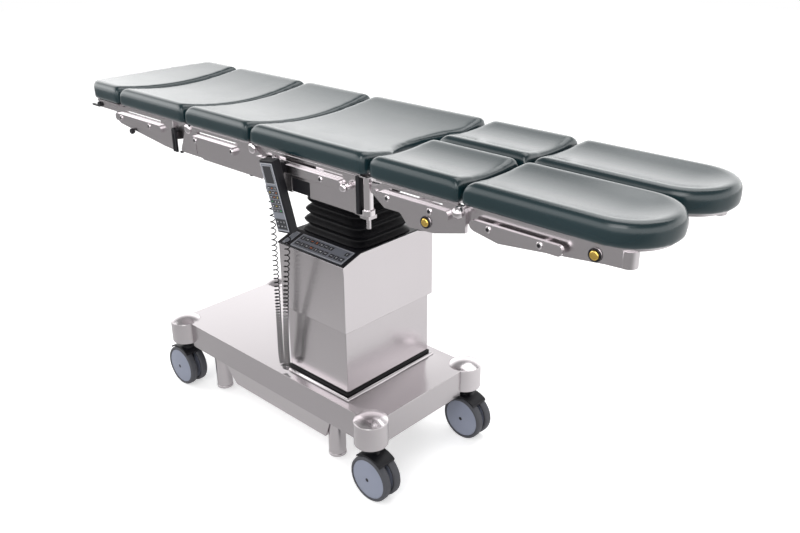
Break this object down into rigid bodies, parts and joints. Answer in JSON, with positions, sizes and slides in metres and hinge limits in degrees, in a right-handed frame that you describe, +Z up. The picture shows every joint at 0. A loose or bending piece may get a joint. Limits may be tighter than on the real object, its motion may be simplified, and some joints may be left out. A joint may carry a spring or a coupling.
{
  "type": "operating table",
  "caption": "Mobile operating table: wheeled base, powered square column with tilting head, jointed upholstered top with split legs and a corded hand control",
  "frame": {"origin": "on the floor under the column's axis, at the middle of the base plate's well", "axes": "+X to the foot end, +Z up, near side with the hand control at -Y"},
  "size_m": [2.2449, 0.568, 1.077],
  "materials": {
    "brushed_stainless": "fine brushed stainless",
    "polished_stainless": "polished stainless sheet",
    "polished_chrome": "bright chrome",
    "dark_green_foam": "satin coated upholstery, dark blue-green",
    "black_rubber": "matt black rubber",
    "black_plastic": "satin black plastic",
    "grey_overlay": "printed membrane, grey and dark",
    "cast_body": "painted casting",
    "tyre_grey": "dark grey tread",
    "wheel_disc": "light blue-grey plastic",
    "brass_button": "polished brass"
  },
  "bodies": {
    "base": {"base_chassis": "cast_body", "base_cover": "brushed_stainless", "base_under_pan": "brushed_stainless", "corner_posts": "brushed_stainless", "post_caps": "polished_stainless", "column_gasket": "black_rubber", "lower_shroud": "polished_stainless", "lift_mast_outer": "cast_body"},
    "stabilisers": {"stabiliser_feet": "brushed_stainless"},
    "column": {"upper_shroud": "polished_stainless", "shoulder_cap": "black_plastic", "control_overlay": "grey_overlay", "lift_mast_inner": "cast_body", "bellows": "black_rubber"},
    "tilt": {"tilt_cross": "cast_body"},
    "seat": {"seat_frame": "brushed_stainless", "seat_side_plates": "brushed_stainless", "seat_end_profiles": "black_plastic", "seat_pad": "dark_green_foam", "handset_body": "black_plastic", "handset_overlay": "grey_overlay", "cord_curl": "black_rubber", "cord_socket": "black_plastic"},
    "lower_back": {"lower_back_frame": "brushed_stainless", "lower_back_pad": "dark_green_foam", "back_hinge_pins": "polished_chrome"},
    "upper_back": {"upper_back_frame": "brushed_stainless", "upper_back_pad": "dark_green_foam"},
    "back_release": {"back_release_levers": "black_plastic"},
    "head": {"head_frame": "brushed_stainless", "head_pad": "dark_green_foam"},
    "head_release": {"head_release_lever": "black_plastic"},
    "locking_pin_near": {"locking_pin_near": "polished_chrome"},
    "leg_swivel_near": {"leg_swivel_near": "polished_chrome"},
    "thigh_near": {"thigh_frame_near": "brushed_stainless", "thigh_pad_near": "dark_green_foam"},
    "leg_near": {"leg_frame_near": "brushed_stainless", "leg_pad_near": "dark_green_foam"},
    "thigh_button_near": {"thigh_button_near": "brass_button"},
    "leg_button_near": {"leg_button_near": "brass_button"},
    "caster_near_head": {"caster_fork_near_head": "black_plastic"},
    "caster_roll_near_head": {"caster_tyres_near_head": "tyre_grey", "caster_wheels_near_head": "wheel_disc"},
    "caster_near_foot": {"caster_fork_near_foot": "black_plastic"},
    "caster_roll_near_foot": {"caster_tyres_near_foot": "tyre_grey", "caster_wheels_near_foot": "wheel_disc"},
    "locking_pin_far": {"locking_pin_far": "polished_chrome"},
    "leg_swivel_far": {"leg_swivel_far": "polished_chrome"},
    "thigh_far": {"thigh_frame_far": "brushed_stainless", "thigh_pad_far": "dark_green_foam"},
    "leg_far": {"leg_frame_far": "brushed_stainless", "leg_pad_far": "dark_green_foam"},
    "thigh_button_far": {"thigh_button_far": "brass_button"},
    "leg_button_far": {"leg_button_far": "brass_button"},
    "caster_far_head": {"caster_fork_far_head": "black_plastic"},
    "caster_roll_far_head": {"caster_tyres_far_head": "tyre_grey", "caster_wheels_far_head": "wheel_disc"},
    "caster_far_foot": {"caster_fork_far_foot": "black_plastic"},
    "caster_roll_far_foot": {"caster_tyres_far_foot": "tyre_grey", "caster_wheels_far_foot": "wheel_disc"}
  },
  "joints": [
    {"name": "stabiliser_jacks", "type": "slide", "parent": "base", "child": "stabilisers", "axis": [0, 0, -1], "range_m": [0, 0.028]},
    {"name": "column_lift", "type": "slide", "parent": "base", "child": "column", "axis": [0, 0, 1], "range_m": [-0.155, 0.03], "deforming": ["cord_curl"]},
    {"name": "trendelenburg", "type": "hinge", "parent": "column", "child": "tilt", "pos_m": [0, 0, 0.822], "axis": [0, 1, 0], "range_deg": [-25, 25], "deforming": ["bellows", "cord_curl"]},
    {"name": "lateral_tilt", "type": "hinge", "parent": "tilt", "child": "seat", "pos_m": [0, 0, 0.822], "axis": [1, 0, 0], "range_deg": [-18, 18], "deforming": ["bellows", "cord_curl"]},
    {"name": "lower_back", "type": "hinge", "parent": "seat", "child": "lower_back", "pos_m": [-0.172, 0, 1], "axis": [0, -1, 0], "range_deg": [-70, 30], "deforming": ["lower_back_pad", "seat_pad"]},
    {"name": "upper_back", "type": "hinge", "parent": "lower_back", "child": "upper_back", "pos_m": [-0.495, 0, 1], "axis": [0, -1, 0], "range_deg": [-40, 30], "deforming": ["upper_back_pad", "lower_back_pad"]},
    {"name": "head_rest", "type": "hinge", "parent": "upper_back", "child": "head", "pos_m": [-0.879, 0, 1], "axis": [0, -1, 0], "range_deg": [-45, 25], "deforming": ["head_pad", "upper_back_pad"]},
    {"name": "back_release", "type": "hinge", "parent": "upper_back", "child": "back_release", "pos_m": [-0.57, 0, 0.982], "axis": [0, 1, 0], "range_deg": [-12, 12], "stiffness_Nm_per_rad": 4},
    {"name": "head_release", "type": "hinge", "parent": "head", "child": "head_release", "pos_m": [-1.049, 0, 0.992], "axis": [0, 1, 0], "range_deg": [-3, 14], "stiffness_Nm_per_rad": 4},
    {"name": "locking_pull_near", "type": "slide", "parent": "seat", "child": "locking_pin_near", "axis": [0, -1, 0], "range_m": [0, 0.012], "stiffness_N_per_m": 600},
    {"name": "leg_swing_near", "type": "hinge", "parent": "seat", "child": "leg_swivel_near", "pos_m": [0.286, -0.228, 0.958], "axis": [0, 0, -1], "range_deg": [0, 40]},
    {"name": "thigh_pitch_near", "type": "hinge", "parent": "leg_swivel_near", "child": "thigh_near", "pos_m": [0.326, -0.23, 0.984], "axis": [0, -1, 0], "range_deg": [-60, 10]},
    {"name": "knee_near", "type": "hinge", "parent": "thigh_near", "child": "leg_near", "pos_m": [0.605, -0.23, 1], "axis": [0, 1, 0], "range_deg": [0, 85]},
    {"name": "thigh_release_near", "type": "slide", "parent": "thigh_near", "child": "thigh_button_near", "axis": [0, 1, 0], "range_m": [0, 0.004], "stiffness_N_per_m": 800},
    {"name": "leg_release_near", "type": "slide", "parent": "leg_near", "child": "leg_button_near", "axis": [0, 1, 0], "range_m": [0, 0.004], "stiffness_N_per_m": 800},
    {"name": "caster_swivel_near_head", "type": "hinge", "parent": "base", "child": "caster_near_head", "pos_m": [-0.682, -0.218, 0.16], "axis": [0, 0, 1], "continuous": true},
    {"name": "caster_roll_near_head", "type": "hinge", "parent": "caster_near_head", "child": "caster_roll_near_head", "pos_m": [-0.698, -0.218, 0.074], "axis": [0, 1, 0], "continuous": true},
    {"name": "caster_swivel_near_foot", "type": "hinge", "parent": "base", "child": "caster_near_foot", "pos_m": [0.265, -0.218, 0.16], "axis": [0, 0, 1], "continuous": true},
    {"name": "caster_roll_near_foot", "type": "hinge", "parent": "caster_near_foot", "child": "caster_roll_near_foot", "pos_m": [0.281, -0.218, 0.074], "axis": [0, 1, 0], "continuous": true},
    {"name": "locking_pull_far", "type": "slide", "parent": "seat", "child": "locking_pin_far", "axis": [0, 1, 0], "range_m": [0, 0.012], "stiffness_N_per_m": 600},
    {"name": "leg_swing_far", "type": "hinge", "parent": "seat", "child": "leg_swivel_far", "pos_m": [0.286, 0.228, 0.958], "axis": [0, 0, 1], "range_deg": [0, 40]},
    {"name": "thigh_pitch_far", "type": "hinge", "parent": "leg_swivel_far", "child": "thigh_far", "pos_m": [0.326, 0.23, 0.984], "axis": [0, -1, 0], "range_deg": [-60, 10]},
    {"name": "knee_far", "type": "hinge", "parent": "thigh_far", "child": "leg_far", "pos_m": [0.605, 0.23, 1], "axis": [0, 1, 0], "range_deg": [0, 85]},
    {"name": "thigh_release_far", "type": "slide", "parent": "thigh_far", "child": "thigh_button_far", "axis": [0, -1, 0], "range_m": [0, 0.004], "stiffness_N_per_m": 800},
    {"name": "leg_release_far", "type": "slide", "parent": "leg_far", "child": "leg_button_far", "axis": [0, -1, 0], "range_m": [0, 0.004], "stiffness_N_per_m": 800},
    {"name": "caster_swivel_far_head", "type": "hinge", "parent": "base", "child": "caster_far_head", "pos_m": [-0.682, 0.218, 0.16], "axis": [0, 0, 1], "continuous": true},
    {"name": "caster_roll_far_head", "type": "hinge", "parent": "caster_far_head", "child": "caster_roll_far_head", "pos_m": [-0.698, 0.218, 0.074], "axis": [0, 1, 0], "continuous": true},
    {"name": "caster_swivel_far_foot", "type": "hinge", "parent": "base", "child": "caster_far_foot", "pos_m": [0.265, 0.218, 0.16], "axis": [0, 0, 1], "continuous": true},
    {"name": "caster_roll_far_foot", "type": "hinge", "parent": "caster_far_foot", "child": "caster_roll_far_foot", "pos_m": [0.281, 0.218, 0.074], "axis": [0, 1, 0], "continuous": true}
  ]
}
